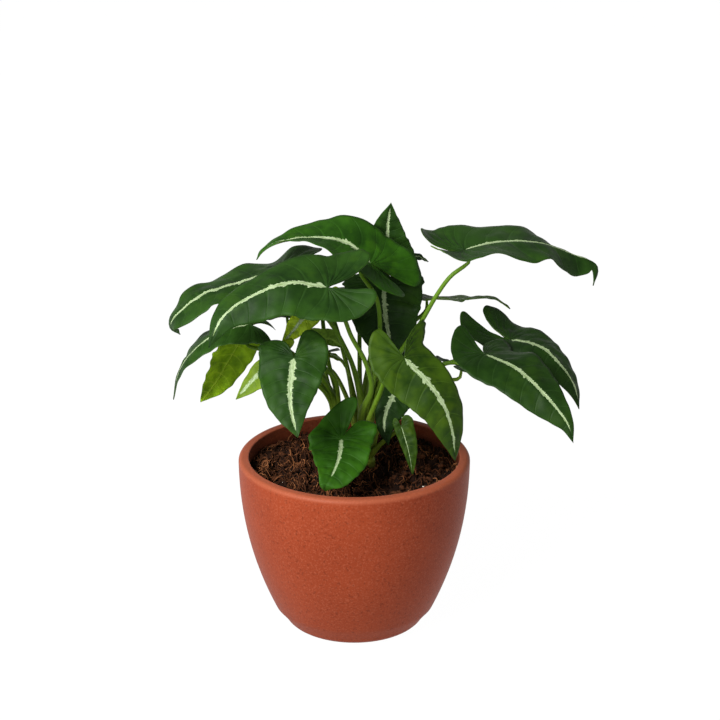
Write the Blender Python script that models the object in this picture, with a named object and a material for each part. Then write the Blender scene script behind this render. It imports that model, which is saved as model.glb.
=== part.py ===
"""A potted arrow-leaf houseplant: arched velvety blades on long petioles, in a round tapered pot.

The origin is the centre of the pot's base, +Z is up, and +X and -Y are the sides that show the plant best.
Tables are in millimetres and degrees, and every mesh is built in metres.
"""

import math

import bmesh
import bpy
import numpy as np
from mathutils.bvhtree import BVHTree

MM = 0.001
GAP = 0.3

# Pot, mm
POT_HEIGHT = 126.4
POT_RADIUS = 82.5
INNER_RADIUS = 75.1
POT_TAPER = 0.38
TAPER_POWER = 2.15
BASE_RADIUS = 43.0
BASE_ROUND = 9.0
RIM_BEVEL = 3.1
RIM_EDGE = 0.8
FLOOR_THICKNESS = 7.0
CORNER_HEIGHT = 8.0
CORNER_WIDTH = 5.0
POT_SIDES = 48
WALL_STEPS = 7
INSIDE_STEPS = 5

# Soil, mm
SOIL_EDGE = 113.5
SOIL_CENTRE = 117.0
SOIL_RELIEF = 1.6
SOIL_RINGS = 9
SOIL_SEED = 5

# Leaves, in lengths of the blade
BLADE_THICKNESS = 0.9
VEIN_SLOPE = 0.55
LOBE_LENGTH = 0.395
HALF_WIDTH = 0.30
HALF_OUTLINE = [
    (-0.300, 0.060), (-0.380, 0.105), (-0.395, 0.175), (-0.320, 0.255),
    (-0.170, 0.300), (0.000, 0.293), (0.150, 0.280), (0.340, 0.252),
    (0.550, 0.195), (0.750, 0.120), (0.900, 0.050), (1.000, 0.000),
]
RIBS = 12
COLUMNS = 3
SMALL_RIBS = 9
SMALL_COLUMNS = 2
SMALL_LENGTH = 50.0
WAVE = 0.022
WAVES = 2.3
WAVE_SHIFT = 1.1
CURVE_SAMPLES = 300
MIDRIB_SAMPLES = 61

# Petioles: radii at shares of the length, with a sheathed base, and where they meet the blade, mm
PETIOLE_SIDES = 6
PETIOLE_STEPS = 10
PETIOLE_SHARES = (0, 0.3, 0.45, 0.9, 1)
PETIOLE_RADII = (2.6, 2.6, 1.7, 1.45, 0.95)
ROOT_SHARE = 0.4
ROOT_DEPTH = 4.0
ROOT_RISE = 8.0
ATTACH = 0.025
APPROACH = 9.0
STRAIGHT_END = 2.2
SEAT_STEP = 0.05
SEAT_TESTS = 24

COLOURS = {
    "pot": ((0.50, 0.155, 0.075), 0.85),
    "soil": ((0.045, 0.022, 0.013), 0.95),
    "stem": ((0.14, 0.24, 0.045), 0.55),
    "leaf": ((0.030, 0.105, 0.022), 0.60),
}

# Plantlets: where each short stem stands in the soil, and its radius
STEMS = {
    "stem_left": ((-11, 4), 5.5),
    "stem_right": ((9, 0), 6.0),
    "stem_front": ((-8, -42), 4.0),
    "stem_back": ((4, 26), 5.5),
}
STEM_BOTTOM = 96.0
STEM_TOP = 128.0
STEM_SIDES = 12
CROWN_HEIGHT = 6.0
CROWN_SHARE = 0.6
HOLE_RISE = 10.0

LEAVES = {}


def leaf(name, stem, midrib, face, route=(), **shape):
    """One leaf: its midrib from the sinus to the tip, the way its upper side faces as (azimuth, elevation)
    along the midrib, and the points that its petiole passes. Pairs in shape are (left, right)."""
    LEAVES[name] = dict(stem=stem, midrib=midrib, face=face, route=route, **shape)


leaf("leaf_01", "stem_right", [(12, 18, 263), (-6, 20, 278), (-34, 18, 282), (-55, 14, 279), (-64, 11, 274),
     (-68, 9, 269)], [(-56, 33), (-80, 62), (-90, 75)], route=[(9, 4, 157), (17, 7, 197), (16, 14, 238)],
     fold=[(35, 0), (17, -4), (27, -8), (40, -15), (30, -25)], wide=(0.94, 1.04), lobe=(0.88, 1),
     splay=(-0.25, 0), full=(0, -0.2))
leaf("leaf_02", "stem_right", [(-18, -35, 263), (-43, -40, 268), (-70, -47, 260), (-88, -53, 248),
     (-98, -57, 227)], [(-90, 45), (-90, 62), (-115, 25)],
     route=[(5, -9, 160), (12, -13, 181), (8, -17, 202), (-2, -21, 223), (-9, -27, 242)],
     fold=[(6, -14), (-22, -22), (-20, -20)], wide=(0.95, 0.96), lobe=(0.85, 0.7), splay=(-0.2, 0.35),
     lift=(45, 35))
leaf("leaf_03", "stem_right", [(-57, 10, 260), (-79, 8, 253), (-104, 4, 246), (-119, 0, 236),
     (-128, 2, 224), (-122, 5, 215)], [(-90, 80), (-95, 76), (-150, 30)],
     route=[(5, 3, 164), (1, 7, 184), (-6, 6, 204), (-22, 7, 230)],
     fold=[(0, -10), (0, -12), (0, -5)], wide=(0.8, 1.05), wave=1.6, full=(1.2, 0.2))
leaf("leaf_04", "stem_left", [(-73, -10, 228), (-89, -12, 225), (-107, -16, 215), (-120, -20, 200),
     (-126, -22, 177)], [(-120, 75), (-176, 49)],
     route=[(-14, 2, 167), (-26, -3, 186), (-50, -8, 211)],
     fold=[(-10, -12), (0, -14)], lift=(-100, -90), splay=(0.4, 0), wide=(0.8, 0.95), lobe=(0.55, 0.8))
leaf("leaf_05", "stem_left", [(-80, 23, 208), (-89, 25, 191), (-98, 21, 176), (-110, 15, 161)], [(105, 12)],
     route=[(-16, 5, 164), (-38, 9, 188), (-62, 14, 200)], fold=[(-30, 0)], wide=(1.2, 1.0), lobe=0.3,
     full=(1, 0.8))
leaf("leaf_06", "stem_left", [(-48, -22, 210), (-64, -26, 199), (-82, -30, 180)], [(-112, 35)],
     route=[(-17, 1, 167), (-30, -12, 188)], wide=(1.0, 0.7), lobe=(0.3, 0.6), full=0.3)
leaf("leaf_07", "stem_left", [(-41, -42, 215), (-43, -52, 203), (-43, -64, 189), (-38, -78, 171)],
     [(-90, 40)], route=[(-16, 1, 170), (-27, -19, 198), (-36, -32, 218)],
     wide=(1.36, 1.42), lobe=(0.95, 0.5), splay=(-0.1, 0))
leaf("leaf_08", "stem_left", [(-26, 25, 234), (-38, 22, 219), (-52, 18, 202)], [(-110, 30)],
     route=[(-12, 7, 167), (-18, 14, 190), (-22, 26, 215)])
leaf("leaf_09", "stem_left", [(-28, 5, 212), (-17, 12, 210), (-5, 18, 200)], [(92, 12)],
     route=[(-13, 3, 166), (-23, 3, 188)])
leaf("leaf_10", "stem_left", [(-17, -8, 205), (-9, -5, 200), (-2, -4, 187)], [(10, 28)],
     route=[(-11, 1, 166), (-14, -5, 186)], wide=0.7, lobe=0.4)
leaf("leaf_11", "stem_front", [(-9, -36, 153), (-10, -51, 147), (-14, -66, 141), (-19, -75, 135),
     (-20, -72, 129)], [(-90, 60), (-90, 55), (-90, 35), (-90, 10)], route=[(-8, -41, 135)],
     wide=(1.43, 1.5), lobe=(0.95, 1.55), splay=(0.15, -0.6), lift=(5, 45), full=(0.5, 0))
leaf("leaf_12", "stem_right", [(34, -48, 217), (50, -56, 202), (61, -62, 187), (67, -64, 167),
     (69, -60, 146)], [(-74, 27), (-78, 5)], route=[(10, -14, 157), (17, -24, 180), (23, -39, 200)],
     fold=[(-25, 0)], wide=(0.87, 0.98), lobe=(0.35, 0.8), splay=(0.7, -0.3), lift=(10, 10))
leaf("leaf_13", "stem_right", [(91, -10, 206), (111, -30, 203), (130, -48, 190), (145, -59, 173),
     (149, -62, 160)], [(-80, 75), (-90, 45), (-110, 10)],
     route=[(15, 4, 163), (34, 6, 178), (67, 0, 196)],
     fold=[(-15, 0), (-22, 0), (-28, 0)], wide=(1.0, 0.93), lobe=(0.5, 0.8), splay=(0.3, -0.5),
     lift=(-25, 50), full=(-0.5, 0))
leaf("leaf_14", "stem_right", [(112, 35, 201), (132, 20, 201), (147, 9, 190), (156, 2, 177),
     (159, -3, 162)], [(-80, 75), (-85, 60), (-60, 20)],
     route=[(13, 6, 163), (32, 10, 176), (65, 20, 188), (91, 32, 189)],
     fold=[(-5, 8), (-34, 0), (-40, -5)], wide=(1.04, 1.0), lobe=(1.05, 1.3), lift=(55, 50), full=(-0.3, 0))
leaf("leaf_15", "stem_right", [(76, 5, 277), (98, 10, 281), (128, 16, 279), (152, 20, 270), (171, 22, 260),
     (168, 17, 247)], [(80, 85), (90, 85), (60, 70), (0, 10)],
     route=[(13, 8, 165), (31, 9, 198), (47, 7, 224), (57, 6, 243), (67, 5, 258)],
     fold=[(16, 5), (12, -10), (10, -20), (-10, -70), (-30, -40)], wide=(0.98, 1.05), lobe=(0.74, 0.62),
     splay=(-0.1, -0.12), lift=(85, 75))
leaf("leaf_16", "stem_back", [(51, 54, 227), (76, 59, 224), (101, 57, 225), (113, 54, 218)], [(90, 77)],
     route=[(14, 32, 165), (34, 46, 202)], lobe=0.4)
leaf("leaf_17", "stem_back", [(27, 52, 250), (24, 48, 268), (24, 44, 284), (26, 40, 301)], [(-90, 5)],
     route=[(8, 30, 165), (18, 54, 215)], wide=1.2, lobe=0.6)
leaf("leaf_18", "stem_back", [(36, 62, 250), (45, 65, 254), (54, 66, 250)], [(-90, 70)],
     route=[(10, 34, 165), (27, 54, 220)])
leaf("leaf_19", "stem_right", [(21, 36, 240), (22, 26, 224), (25, 18, 206), (28, 13, 182)], [(-90, 30)],
     route=[(11, 7, 165), (14, 18, 195), (14, 36, 224)], wide=1.5, lobe=0.45)
leaf("leaf_20", "stem_right", [(31, -2, 178), (24, -8, 167), (21, -12, 154), (24, -14, 139)], [(-90, 20)],
     route=[(20, 3, 155)], wide=(1.2, 0.8), lobe=0.5)
leaf("leaf_21", "stem_right", [(33, -18, 155), (38, -24, 139), (41, -28, 122)], [(-90, 20)],
     route=[(22, -6, 140)], wide=(0.85, 0.5), lobe=0.5)
leaf("leaf_22", "stem_back", [(-24, 58, 238), (-40, 80, 232), (-62, 106, 208)], [(135, 60), (130, 30)],
     route=[(-2, 34, 165), (-14, 46, 210)], lobe=0.8)
leaf("leaf_23", "stem_back", [(5, 76, 226), (8, 100, 216), (14, 124, 186)], [(90, 60), (85, 30)],
     route=[(4, 34, 165), (4, 54, 205)], lobe=0.6)
leaf("leaf_24", "stem_left", [(-48, 58, 214), (-70, 74, 208), (-93, 88, 190)], [(145, 65), (140, 35)],
     route=[(-16, 12, 163), (-30, 36, 200)], lobe=0.8)
leaf("leaf_25", "stem_back", [(78, 60, 172), (103, 78, 162), (126, 94, 142)], [(35, 65), (38, 30)],
     route=[(12, 30, 155), (44, 44, 168)], lobe=0.5)
leaf("leaf_26", "stem_back", [(28, 76, 198), (34, 92, 188), (42, 108, 164)], [(70, 60), (70, 25)],
     route=[(8, 36, 160), (18, 54, 184)], lobe=0.6)
leaf("leaf_27", "stem_back", [(-28, 62, 180), (-40, 78, 172), (-56, 96, 148)], [(125, 60), (125, 25)],
     route=[(-3, 34, 150), (-16, 48, 172)], lobe=0.6)


# Curves and vectors

def smooth(points, count):
    """count points spaced evenly along a smooth curve through the given points, and its length"""
    p = np.array(points, float)
    p = np.vstack([2 * p[0] - p[1], p, 2 * p[-1] - p[-2]])
    knots = np.concatenate([[0], np.cumsum(np.linalg.norm(np.diff(p, axis=0), axis=1) ** 0.5)])
    curve = []
    for u in np.linspace(knots[1], knots[-2], CURVE_SAMPLES):
        i = min(max(int(np.searchsorted(knots, u, side="right")) - 1, 1), len(p) - 3)
        t0, t1, t2, t3 = knots[i - 1:i + 3]
        a = (t1 - u) / (t1 - t0) * p[i - 1] + (u - t0) / (t1 - t0) * p[i]
        b = (t2 - u) / (t2 - t1) * p[i] + (u - t1) / (t2 - t1) * p[i + 1]
        c = (t3 - u) / (t3 - t2) * p[i + 1] + (u - t2) / (t3 - t2) * p[i + 2]
        d = (t2 - u) / (t2 - t0) * a + (u - t0) / (t2 - t0) * b
        e = (t3 - u) / (t3 - t1) * b + (u - t1) / (t3 - t1) * c
        curve.append((t2 - u) / (t2 - t1) * d + (u - t1) / (t2 - t1) * e)
    curve = np.array(curve)
    run = np.concatenate([[0], np.cumsum(np.linalg.norm(np.diff(curve, axis=0), axis=1))])
    at = np.linspace(0, run[-1], count)
    return np.stack([np.interp(at, run, axis) for axis in curve.T], -1), run[-1]


def unit(v):
    return v / np.linalg.norm(v, axis=-1, keepdims=True)


def facing(azimuth, elevation):
    a, e = math.radians(azimuth), math.radians(elevation)
    return math.cos(a) * math.cos(e), math.sin(a) * math.cos(e), math.sin(e)


def of_side(value, side):
    """the left or right one of a pair, or the value itself"""
    return value[0 if side > 0 else 1] if isinstance(value, (tuple, list)) else value


def along(values, x):
    """a list of values spread evenly over 0 to 1, read at x"""
    v = np.array(values, float).reshape(len(values), -1)
    steps = np.linspace(0, 1, len(v)) if len(v) > 1 else np.zeros(1)
    return np.stack([np.interp(x, steps, column) for column in v.T], -1)


# Blades

def half_grid(shape, ribs, columns, side):
    """flat points of one half in lengths: rows are ribs from the sinus to the tip, columns run outwards"""
    edge, _ = smooth(HALF_OUTLINE, ribs + 1)
    x, y = edge.T
    root = np.clip(x - VEIN_SLOPE * y, 0, 1)
    root[-1] = 1
    back = np.clip(-x, 0, None)
    y = (y + back * of_side(shape.get("splay", 0), side)) * of_side(shape.get("wide", 1), side)
    y = y * (1 + of_side(shape.get("full", 0), side) * np.clip(x, 0, 1) ** 2)
    x = np.where(x < 0, x * of_side(shape.get("lobe", 1), side), x)
    t = np.linspace(0, 1, columns + 1)
    return root[:, None] * (1 - t) + x[:, None] * t, y[:, None] * t


def on_blade(shape, x, y, side):
    """flat x and y in lengths to points in mm, bent as the leaf is, and the way that the blade faces there"""
    x, y = np.broadcast_arrays(np.asarray(x, float), np.asarray(y, float))
    points, length = smooth(shape["midrib"], MIDRIB_SAMPLES)
    s = np.linspace(0, 1, MIDRIB_SAMPLES)
    tangents = unit(np.gradient(points, axis=0))
    xc = np.clip(x, 0, 1)
    place = np.stack([np.interp(xc, s, axis) for axis in points.T], -1)
    ahead = unit(np.stack([np.interp(xc, s, axis) for axis in tangents.T], -1))
    face = along([facing(*a) for a in shape["face"]], xc)
    face = unit(face - (face * ahead).sum(-1, keepdims=True) * ahead)
    left = np.cross(face, ahead)
    back = np.clip(-x, 0, None) * length
    bend = math.radians(of_side(shape.get("lift", 0), side)) * back / (LOBE_LENGTH * length)
    bend = np.where(np.abs(bend) < 1e-4, 1e-4, bend)
    place = place - ahead * (back * np.sin(bend) / bend)[..., None]
    place = place + face * (back * (1 - np.cos(bend)) / bend)[..., None]
    face = face * np.cos(bend)[..., None] + ahead * np.sin(bend)[..., None]
    fold = np.radians(along([of_side(f, side) for f in shape.get("fold", [0])], xc)[..., 0])
    turn = 2 * math.pi * WAVES * x + side * WAVE_SHIFT + shape["midrib"][0][0]
    waved = WAVE * shape.get("wave", 1) * length * np.sin(turn)
    up = y * length * np.sin(fold) + waved * (y / HALF_WIDTH) ** 2
    place = place + left * (side * y * length * np.cos(fold))[..., None] + face * up[..., None]
    face = face * np.cos(fold)[..., None] - left * (side * np.sin(fold))[..., None]
    return place, face


def blade_sheet(shape, ribs, columns):
    """vertices in mm and triangles of the blade's middle surface, whose halves share the midrib and tip"""
    vertices, triangles, rows = [], [], {}
    for side in (1, -1):
        x, y = half_grid(shape, ribs, columns, side)
        points, _ = on_blade(shape, x, y, side)
        for i in range(ribs):
            row = []
            for j in range(columns + 1):
                on_midrib = j == 0
                if on_midrib and side < 0:
                    row.append(rows[1, i][0])
                elif on_midrib and i > 0 and x[i, 0] == x[i - 1, 0]:
                    row.append(rows[side, i - 1][0])
                else:
                    row.append(len(vertices))
                    vertices.append(points[i, j])
            rows[side, i] = row
        if side > 0:
            tip = len(vertices)
            vertices.append(points[ribs, 0])
    for side in (1, -1):
        for i in range(ribs):
            a = rows[side, i]
            b = rows[side, i + 1] if i < ribs - 1 else [tip] * (columns + 1)
            for j in range(columns):
                for corners in ((a[j], a[j + 1], b[j + 1]), (a[j], b[j + 1], b[j])):
                    if len(set(corners)) == 3:
                        triangles.append(corners if side < 0 else corners[::-1])
    return np.array(vertices), triangles, rows, tip


def thick_blade(name, shape):
    """the blade as a closed solid, split into the same triangles on both faces"""
    _, length = smooth(shape["midrib"], 9)
    small = length < SMALL_LENGTH
    ribs, columns = (SMALL_RIBS, SMALL_COLUMNS) if small else (RIBS, COLUMNS)
    sheet, triangles, rows, tip = blade_sheet(shape, ribs, columns)
    normals = np.zeros_like(sheet)
    for a, b, c in triangles:
        across = np.cross(sheet[b] - sheet[a], sheet[c] - sheet[a])
        for corner in (a, b, c):
            normals[corner] += across
    normals = unit(normals)
    mesh = bmesh.new()
    upper = [mesh.verts.new(v) for v in (sheet + normals * BLADE_THICKNESS / 2) * MM]
    lower = [mesh.verts.new(v) for v in (sheet - normals * BLADE_THICKNESS / 2) * MM]
    for a, b, c in triangles:
        mesh.faces.new((upper[a], upper[b], upper[c]))
        mesh.faces.new((lower[c], lower[b], lower[a]))
    rim = list(rows[1, 0]) + [rows[1, i][-1] for i in range(1, ribs)] + [tip]
    rim += [rows[-1, i][-1] for i in range(ribs - 1, 0, -1)] + list(rows[-1, 0])[:0:-1]
    for a, b in zip(rim, rim[1:] + rim[:1]):
        mesh.faces.new((upper[a], lower[a], upper[b]))
        mesh.faces.new((upper[b], lower[a], lower[b]))
    bmesh.ops.recalc_face_normals(mesh, faces=mesh.faces)
    return finish_mesh(name, mesh, "leaf")


# Stems and petioles

def tube(points, radii, sides):
    """a closed tube along the points, in metres"""
    mesh = bmesh.new()
    rings = []
    tangents = unit(np.gradient(points, axis=0))
    across = unit(np.cross(tangents[0], (0.3, 0.9, 0.2)))
    for point, tangent, radius in zip(points, tangents, radii):
        across = unit(across - (across @ tangent) * tangent)
        other = np.cross(tangent, across)
        ring = []
        for k in range(sides):
            angle = 2 * math.pi * k / sides
            spoke = across * math.cos(angle) + other * math.sin(angle)
            ring.append(mesh.verts.new((point + radius * spoke) * MM))
        rings.append(ring)
    for one, two in zip(rings, rings[1:]):
        for k in range(sides):
            n = (k + 1) % sides
            mesh.faces.new((one[k], one[n], two[n], two[k]))
    mesh.faces.new(rings[0][::-1])
    mesh.faces.new(rings[-1])
    return mesh


def clear_of(blade, end, face):
    """whether a petiole's flat end here keeps the gap to its blade all the way round"""
    across = unit(np.cross(face, (0.3, 0.9, 0.2)))
    other = np.cross(face, across)
    for angle in np.linspace(0, 2 * math.pi, SEAT_TESTS):
        spoke = across * math.cos(angle) + other * math.sin(angle)
        corner = (end + PETIOLE_RADII[-1] * spoke) * MM
        point, normal, _, distance = blade.find_nearest(corner.tolist())
        outside = (corner - np.array(point)) @ np.array(normal) > 0
        if distance < GAP * MM or not outside:
            return False
    return True


def petiole_curve(shape, blade):
    """points in mm from inside the stem to just under the blade at the sinus"""
    (x, y), radius = STEMS[shape["stem"]]
    hold, face = on_blade(shape, ATTACH, 0.0, 1)
    reach = BLADE_THICKNESS / 2 + GAP
    while not clear_of(blade, hold - face * reach, face):
        reach += SEAT_STEP
    end = hold - face * reach
    lean = np.array([shape["route"][0][0] - x, shape["route"][0][1] - y])
    side = (x, y) + ROOT_SHARE * radius * lean / max(np.linalg.norm(lean), 1)
    start = (*side, SOIL_CENTRE - ROOT_DEPTH)
    leave = (*side, SOIL_CENTRE + ROOT_RISE)
    before = end - face * APPROACH
    straight = end - face * STRAIGHT_END
    points, _ = smooth([start, leave, *shape["route"], before, straight], PETIOLE_STEPS)
    return np.vstack([points, end])


def petiole(shape, blade):
    points = petiole_curve(shape, blade)
    radii = np.interp(np.linspace(0, 1, len(points)), PETIOLE_SHARES, PETIOLE_RADII)
    return tube(points, radii, PETIOLE_SIDES)


def stem(name, blades):
    """a plantlet's short stem with its petioles, joined into one body"""
    (x, y), radius = STEMS[name]
    heights = (STEM_BOTTOM, STEM_TOP - CROWN_HEIGHT, STEM_TOP)
    radii = (radius, radius, CROWN_SHARE * radius)
    core = tube(np.array([(x, y, z) for z in heights]), radii, STEM_SIDES)
    body = finish_mesh(name, core, "stem")
    pieces = bpy.data.collections.new(name + "_pieces")
    bpy.context.scene.collection.children.link(pieces)
    for leaf_name, shape in LEAVES.items():
        if shape["stem"] == name:
            piece = finish_mesh(leaf_name + "_petiole", petiole(shape, blades[leaf_name]), "stem")
            bpy.context.scene.collection.objects.unlink(piece)
            pieces.objects.link(piece)
    join = body.modifiers.new("join", "BOOLEAN")
    join.operation = "UNION"
    join.solver = "EXACT"
    join.operand_type = "COLLECTION"
    join.collection = pieces
    apply_modifiers(body)
    for piece in list(pieces.objects):
        bpy.data.objects.remove(piece)
    bpy.data.collections.remove(pieces)
    return body


# Pot and soil

def wall_radius(z):
    return POT_RADIUS * (1 - POT_TAPER * ((POT_HEIGHT - z) / POT_HEIGHT) ** TAPER_POWER)


def inner_radius(z):
    """the pot's inside runs parallel to its outside, a wall's thickness in"""
    return wall_radius(z) - (POT_RADIUS - INNER_RADIUS)


def revolve(mesh, profile):
    """turns a closed loop of (radius, height) points, in mm, about the Z axis"""
    rings = []
    for radius, z in profile:
        if radius == 0:
            rings.append([mesh.verts.new((0, 0, z * MM))] * POT_SIDES)
            continue
        ring = []
        for k in range(POT_SIDES):
            angle = 2 * math.pi * k / POT_SIDES
            place = np.array((radius * math.cos(angle), radius * math.sin(angle), z))
            ring.append(mesh.verts.new(place * MM))
        rings.append(ring)
    for one, two in zip(rings, rings[1:]):
        for k in range(POT_SIDES):
            n = (k + 1) % POT_SIDES
            corners = []
            for vertex in (one[k], one[n], two[n], two[k]):
                if vertex not in corners:
                    corners.append(vertex)
            mesh.faces.new(corners)


def inside_heights():
    """heights down the pot's inside, from just above the soil's edge to the corner of the floor"""
    return np.linspace(SOIL_EDGE, FLOOR_THICKNESS + CORNER_HEIGHT, INSIDE_STEPS)


def floor_radius():
    return inner_radius(FLOOR_THICKNESS + CORNER_HEIGHT) - CORNER_WIDTH


def pot():
    profile = [(0, 0)]
    for angle in (90, 60, 30):
        a = math.radians(angle)
        profile.append((BASE_RADIUS + BASE_ROUND * math.cos(a), BASE_ROUND * (1 - math.sin(a))))
    heights = np.linspace(1.5 * BASE_ROUND, POT_HEIGHT - RIM_BEVEL, WALL_STEPS)
    profile += [(wall_radius(z), z) for z in heights]
    profile += [(POT_RADIUS - RIM_EDGE, POT_HEIGHT - RIM_EDGE), (POT_RADIUS - RIM_BEVEL, POT_HEIGHT)]
    profile += [(INNER_RADIUS + RIM_EDGE, POT_HEIGHT), (INNER_RADIUS, POT_HEIGHT - RIM_EDGE)]
    profile += [(inner_radius(z), z) for z in inside_heights()]
    profile += [(floor_radius(), FLOOR_THICKNESS), (0, FLOOR_THICKNESS)]
    mesh = bmesh.new()
    revolve(mesh, profile)
    bmesh.ops.recalc_face_normals(mesh, faces=mesh.faces)
    return finish_mesh("pot", mesh, "pot")


def soil():
    """fills the pot to below its rim, with a lumpy mounded top and a plain hole for each stem"""
    floor = FLOOR_THICKNESS + GAP
    profile = [(0, floor), (floor_radius() - GAP, floor)]
    for z in reversed(inside_heights()):
        profile.append((inner_radius(z) - GAP, z))
    edge = inner_radius(SOIL_EDGE) - GAP
    for i in range(1, SOIL_RINGS):
        share = 1 - i / SOIL_RINGS
        profile.append((edge * share, SOIL_EDGE + (SOIL_CENTRE - SOIL_EDGE) * (1 - share ** 2)))
    profile.append((0, SOIL_CENTRE))
    mesh = bmesh.new()
    revolve(mesh, profile)
    generator = np.random.default_rng(SOIL_SEED)
    for vertex in mesh.verts:
        if vertex.co.z > (SOIL_EDGE + GAP) * MM:
            vertex.co.z += SOIL_RELIEF * MM * generator.uniform(-1, 1)
    bmesh.ops.recalc_face_normals(mesh, faces=mesh.faces)
    body = finish_mesh("soil", mesh, "soil")
    for name, ((x, y), radius) in STEMS.items():
        heights = (STEM_BOTTOM - GAP, STEM_TOP + HOLE_RISE)
        hole = tube(np.array([(x, y, z) for z in heights]), (radius + GAP, radius + GAP), STEM_SIDES)
        cutter = finish_mesh(name + "_hole", hole, "soil")
        cut = body.modifiers.new(name, "BOOLEAN")
        cut.operation = "DIFFERENCE"
        cut.solver = "EXACT"
        cut.object = cutter
        apply_modifiers(body)
        bpy.data.objects.remove(cutter)
    return body


# Objects and materials

def material(name):
    made = bpy.data.materials.get(name)
    if made is None:
        colour, roughness = COLOURS[name]
        made = bpy.data.materials.new(name)
        made.use_nodes = True
        shader = made.node_tree.nodes["Principled BSDF"]
        shader.inputs["Base Color"].default_value = (*colour, 1)
        shader.inputs["Roughness"].default_value = roughness
        shader.inputs["Metallic"].default_value = 0
    return made


def finish_mesh(name, mesh, material_name):
    data = bpy.data.meshes.new(name)
    mesh.to_mesh(data)
    mesh.free()
    data.materials.append(material(material_name))
    data.shade_smooth()
    made = bpy.data.objects.new(name, data)
    bpy.context.scene.collection.objects.link(made)
    return made


def apply_modifiers(obj):
    graph = bpy.context.evaluated_depsgraph_get()
    graph.update()
    data = bpy.data.meshes.new_from_object(obj.evaluated_get(graph))
    obj.modifiers.clear()
    obj.data = data


def main():
    for obj in list(bpy.data.objects):
        bpy.data.objects.remove(obj)
    pot()
    soil()
    blades = {}
    for name, shape in LEAVES.items():
        data = thick_blade(name, shape).data
        corners = [vertex.co for vertex in data.vertices]
        blades[name] = BVHTree.FromPolygons(corners, [face.vertices for face in data.polygons])
    for name in STEMS:
        stem(name, blades)


main()
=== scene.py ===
"""The looks of a potted arrow-leaf houseplant: velvety blades with a pale feathered midrib,
sheathed petioles, a speckled clay pot and coarse coir soil.

The frame is the model's own: its origin is the centre of the pot's base, and +Z is up.
Tables are in millimetres and degrees, and every mesh is built in metres.
"""

import math
from functools import cache, partialmethod

import bmesh
import bpy
import numpy as np
from mathutils import Matrix, Vector, noise


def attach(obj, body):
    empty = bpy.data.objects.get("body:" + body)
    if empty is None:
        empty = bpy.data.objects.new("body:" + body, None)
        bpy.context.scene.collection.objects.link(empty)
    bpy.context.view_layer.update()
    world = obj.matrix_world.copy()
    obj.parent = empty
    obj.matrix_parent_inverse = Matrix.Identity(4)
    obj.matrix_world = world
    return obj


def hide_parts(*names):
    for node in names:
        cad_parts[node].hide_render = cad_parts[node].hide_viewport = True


MM = 0.001
BODY = "root"

# Camera and light, metres and degrees
CAMERA_PLACE = (0.0, -1.3865, 0.6987)
CAMERA_DOWN = 19.853
CAMERA_TURN = -0.168
CAMERA_LENS = 105.09
SENSOR_WIDTH = 36.0
PLANT_CENTRE = (0.0, 0.0, 0.16)
FLOOR_SIZE = 14.0
FLOOR_DROP = 0.0003
FLOOR_GLOW = 0.99
FLOOR_SHADE = 0.03
SKY_STRENGTH = 0.35
HORIZON_STRENGTH = 1.0
HORIZON_FADE = (0.10, 0.25)
KEY_PLACE = (-0.73, -0.87, 0.98)
KEY_SIZE = 0.9
KEY_POWER = 44

# Pot, mm and degrees
POT_HEIGHT = 126.4
POT_RADIUS = 82.5
INNER_RADIUS = 75.1
POT_TAPER = 0.38
TAPER_POWER = 2.15
BASE_RADIUS = 43.0
BASE_RING = 0.6
BASE_ROUND = 9.0
BASE_ARC = (-90, -20)
RIM_BEVEL = 3.1
RIM_ARC = (12, 90)
INNER_BEVEL = 0.9
INNER_ARC = (90, 165)
FLOOR_THICKNESS = 7.0
CORNER_HEIGHT = 8.0
CORNER_WIDTH = 5.0
DAMP_DEPTH = 4.0
POT_SIDES = 192
WALL_STEPS = 36
DRY_STEPS = 10
DAMP_STEPS = 12
ARC_STEPS = 8

# Soil, mm
SOIL_EDGE = 113.5
SOIL_CENTRE = 117.0
SOIL_SEED = 5
SOIL_RINGS = 84
SOIL_SIDES = 240
LUMP_SIZE = 8.5
LUMP_HEIGHT = 5.2
LUMP_DETAIL = (0.55, 2.1, 5)
BED_HEIGHTS = (40, 60, 80, 100)
SHOULDER_DEPTH = 5.0
WALL_CLEARANCE = 0.2
FLOOR_CLEARANCE = 1.0

# Loose fibres and chips on the soil, mm and radians
LEFT_SHARE = 0.35
PLACE_CLEARANCE = 2.0
FIBRE_CLEARANCE = 1.5
FIBRE_CURL = 0.16
FIBRE_WANDER = 0.10
FIBRE_STEP = 1.5
FEWEST_STEPS = 6
FIBRE_LIFT = 0.4
FIBRE_TIP = 0.35
FIBRE_SPAN = (0.08, 0.84)
FIBRE_SIDES = 4
FIBRE_ASIDE = (0.1, 0.2, 1)
CHIP_LENGTH = (0.7, 1.6)
CHIP_BREADTH = (0.6, 1.0)
CHIP_LUMPS = 0.28
CHIP_TILT = 0.6
CHIP_LIFT = 0.25

# Leaves, in lengths of the blade
VEIN_SLOPE = 0.55
VEIN_BOW = 0.10
LOBE_LENGTH = 0.395
HALF_WIDTH = 0.30
HALF_OUTLINE = [
    (-0.300, 0.060), (-0.380, 0.105), (-0.395, 0.175), (-0.320, 0.255),
    (-0.170, 0.300), (0.000, 0.293), (0.150, 0.280), (0.340, 0.252),
    (0.550, 0.195), (0.750, 0.120), (0.900, 0.050), (1.000, 0.000),
]
WAVE = 0.022
WAVES = 2.3
WAVE_SHIFT = 1.1
LEAST_BEND = 1e-4
CURVE_SAMPLES = 300
MIDRIB_SAMPLES = 61
SMALL_LENGTH = 50.0
VEINS = 13
SMALL_VEINS = 9
RIBS_PER_VEIN = 6
COLUMNS = 16
SMALL_COLUMNS = 11
COLUMN_POWER = 1.5
RUFFLE = 0.030
RUFFLES = (5.3, 8.7, 13.9)

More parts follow.
